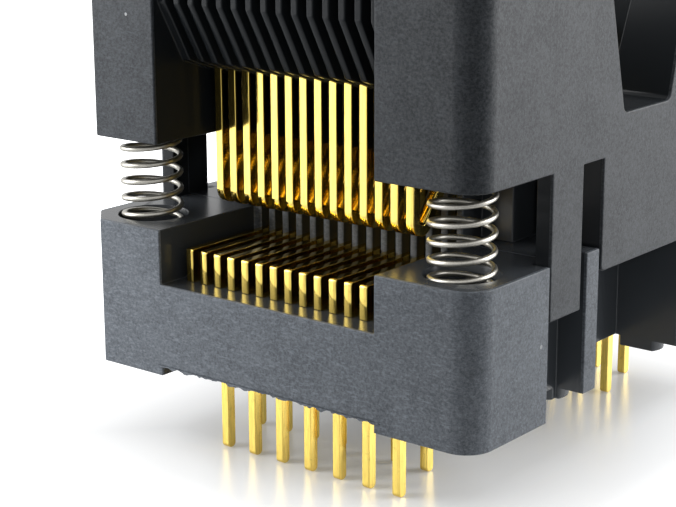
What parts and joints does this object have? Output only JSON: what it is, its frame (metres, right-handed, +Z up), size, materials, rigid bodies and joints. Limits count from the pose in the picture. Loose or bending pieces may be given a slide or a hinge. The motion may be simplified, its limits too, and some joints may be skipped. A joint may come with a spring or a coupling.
{
  "type": "ic test socket",
  "caption": "Open-top test socket for a dual-row small-outline package: sprung cover over a base with stamped contacts.",
  "frame": {"origin": "centre of the socket, at the level of the solder tails' tips", "axes": "+Z up out of the board, X along the two contact rows, Y across them"},
  "size_m": [0.0174, 0.0206, 0.019],
  "materials": {
    "base_plastic": "glass-filled black moulding, faint pale mottling",
    "cover_plastic": "glass-filled black moulding, faint pale mottling",
    "contact_gold": "gold plate on a copper alloy strip, blanked edges",
    "spring_steel": "bright drawn stainless wire"
  },
  "bodies": {
    "base": {"base": "base_plastic", "contact_front_01": "contact_gold", "contact_front_02": "contact_gold", "contact_front_03": "contact_gold", "contact_front_04": "contact_gold", "contact_front_05": "contact_gold", "contact_front_06": "contact_gold", "contact_front_07": "contact_gold", "contact_front_08": "contact_gold", "contact_front_09": "contact_gold", "contact_front_10": "contact_gold", "contact_front_11": "contact_gold", "contact_front_12": "contact_gold", "contact_front_13": "contact_gold", "contact_front_14": "contact_gold", "contact_back_01": "contact_gold", "contact_back_02": "contact_gold", "contact_back_03": "contact_gold", "contact_back_04": "contact_gold", "contact_back_05": "contact_gold", "contact_back_06": "contact_gold", "contact_back_07": "contact_gold", "contact_back_08": "contact_gold", "contact_back_09": "contact_gold", "contact_back_10": "contact_gold", "contact_back_11": "contact_gold", "contact_back_12": "contact_gold", "contact_back_13": "contact_gold", "contact_back_14": "contact_gold", "spring_front_left": "spring_steel", "spring_front_right": "spring_steel", "spring_back_left": "spring_steel", "spring_back_right": "spring_steel"},
    "cover": {"cover": "cover_plastic"}
  },
  "joints": [
    {"name": "cover_press", "type": "slide", "parent": "base", "child": "cover", "axis": [0, 0, -1], "range_m": [0, 0.003], "stiffness_N_per_m": 840, "springref_m": -0.002, "deforming": ["spring_front_left", "spring_front_right", "spring_back_left", "spring_back_right", "contact_front_01", "contact_front_02", "contact_front_03", "contact_front_04", "contact_front_05", "contact_front_06", "contact_front_07", "contact_front_08", "contact_front_09", "contact_front_10", "contact_front_11", "contact_front_12", "contact_front_13", "contact_front_14", "contact_back_01", "contact_back_02", "contact_back_03", "contact_back_04", "contact_back_05", "contact_back_06", "contact_back_07", "contact_back_08", "contact_back_09", "contact_back_10", "contact_back_11", "contact_back_12", "contact_back_13", "contact_back_14"]}
  ]
}
